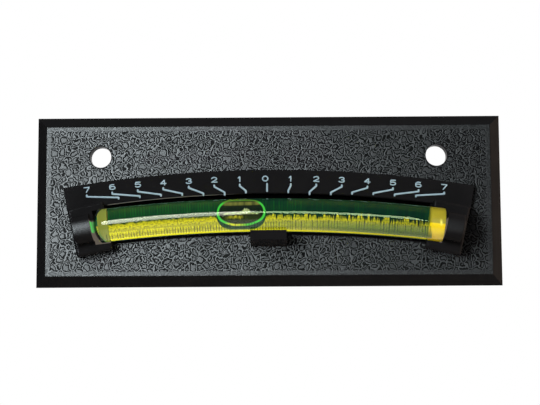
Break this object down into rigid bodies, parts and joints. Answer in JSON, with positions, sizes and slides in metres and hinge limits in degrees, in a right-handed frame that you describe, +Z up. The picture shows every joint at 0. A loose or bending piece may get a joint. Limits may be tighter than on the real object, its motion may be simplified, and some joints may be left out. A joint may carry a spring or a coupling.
{
  "type": "stick-on level",
  "caption": "Oblong bevelled wall plate with an arched degree scale over a curved liquid vial, whose air bubble shows how far a surface leans.",
  "frame": {"origin": "centre of the adhesive pad's back face, which lies against the wall", "axes": "+X to the right along the plate, +Y into the wall, +Z up"},
  "size_m": [0.14, 0.015, 0.0516],
  "materials": {
    "black_plastic": "moulded black plastic, leather grain on the face, satin elsewhere",
    "clear_acrylic": "clear polished acrylic",
    "plug_plastic": "yellow plastic, glossy",
    "level_liquid": "clear yellow-green dyed liquid",
    "bubble_air": "clear air bubble",
    "adhesive_foam": "white closed-cell foam with a tacky back"
  },
  "bodies": {
    "level": {"backing_plate": "black_plastic", "vial_tube": "clear_acrylic", "vial_plug": "plug_plastic", "vial_liquid": "level_liquid", "foam_pad": "adhesive_foam"},
    "bubble": {"air_bubble": "bubble_air"}
  },
  "joints": [
    {"name": "bubble_travel", "type": "hinge", "parent": "level", "child": "bubble", "pos_m": [0, -0.01, -0.4201], "axis": [0, 1, 0], "range_deg": [-4.36, 6.56], "stiffness_Nm_per_rad": 0.006, "springref_deg": 1.1, "deforming": ["vial_liquid"]}
  ]
}
